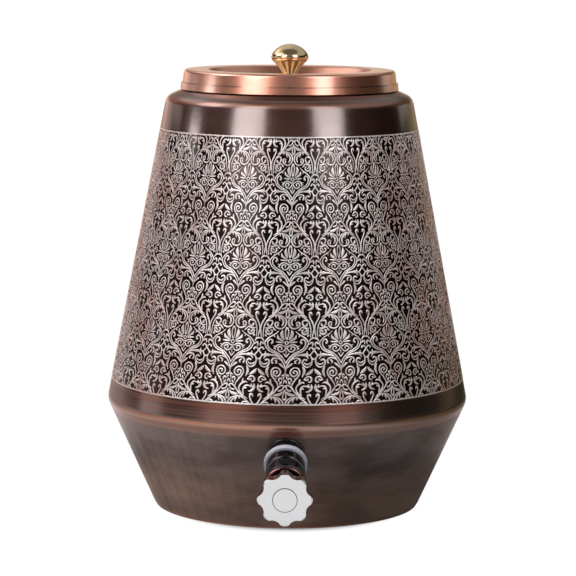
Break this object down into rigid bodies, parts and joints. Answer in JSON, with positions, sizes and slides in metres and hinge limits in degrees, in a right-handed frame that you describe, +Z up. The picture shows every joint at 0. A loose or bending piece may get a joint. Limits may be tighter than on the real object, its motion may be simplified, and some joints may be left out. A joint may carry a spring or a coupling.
{
  "type": "water dispenser",
  "caption": "Two-cone copper water vessel with a lift-off lid, a brass lid knob and a screw-down chrome tap with a lobed handle.",
  "frame": {"origin": "middle of the flat underside of the foot", "axes": "+Z up along the vessel's axis, -Y towards the tap, +X to the right as seen from the tap's side"},
  "size_m": [0.2491, 0.3087, 0.319],
  "materials": {
    "dark_copper": "dark bronzed copper, lightly brushed",
    "copper": "plain polished copper",
    "brass": "polished brass",
    "chrome": "bright chrome plate",
    "rubber": "smooth black rubber",
    "white_nylon": "white nylon",
    "red_fibre": "pressed red fibre"
  },
  "bodies": {
    "vessel": {"upper_shell": "dark_copper", "lower_shell": "dark_copper", "base_plate": "copper", "rim_wire": "brass", "wall_gasket": "rubber", "white_washer": "white_nylon", "inner_seal": "rubber", "slip_washer": "brass", "back_nut": "brass", "tap_body": "chrome", "bonnet": "chrome", "bonnet_fibre_ring": "red_fibre", "gland_packing": "white_nylon", "gland_nut": "brass"},
    "lid": {"lid_cap": "copper", "lid_band": "copper", "lid_knob": "brass", "lid_knob_washer": "brass", "lid_knob_screw": "brass"},
    "valve": {"jumper": "brass", "valve_washer": "rubber", "jumper_nut": "brass"},
    "tap_handle": {"spindle": "brass", "handle": "chrome", "handle_screw": "brass", "handle_cap": "chrome"}
  },
  "joints": [
    {"name": "lid_lift", "type": "slide", "parent": "vessel", "child": "lid", "axis": [0, 0, 1], "range_m": [0, 0.15]},
    {"name": "valve_lift", "type": "slide", "parent": "vessel", "child": "valve", "axis": [0, -0.9962, -0.0872], "range_m": [0, 0.00382]},
    {"name": "knob_turn", "type": "hinge", "parent": "valve", "child": "tap_handle", "pos_m": [0, -0.14878, 0.0416], "axis": [0, -0.9962, -0.0872], "range_deg": [0, 540]}
  ],
  "couplings": [
    {"joint": "valve_lift", "follows": "knob_turn", "m_per_rad": 0.00040425}
  ]
}
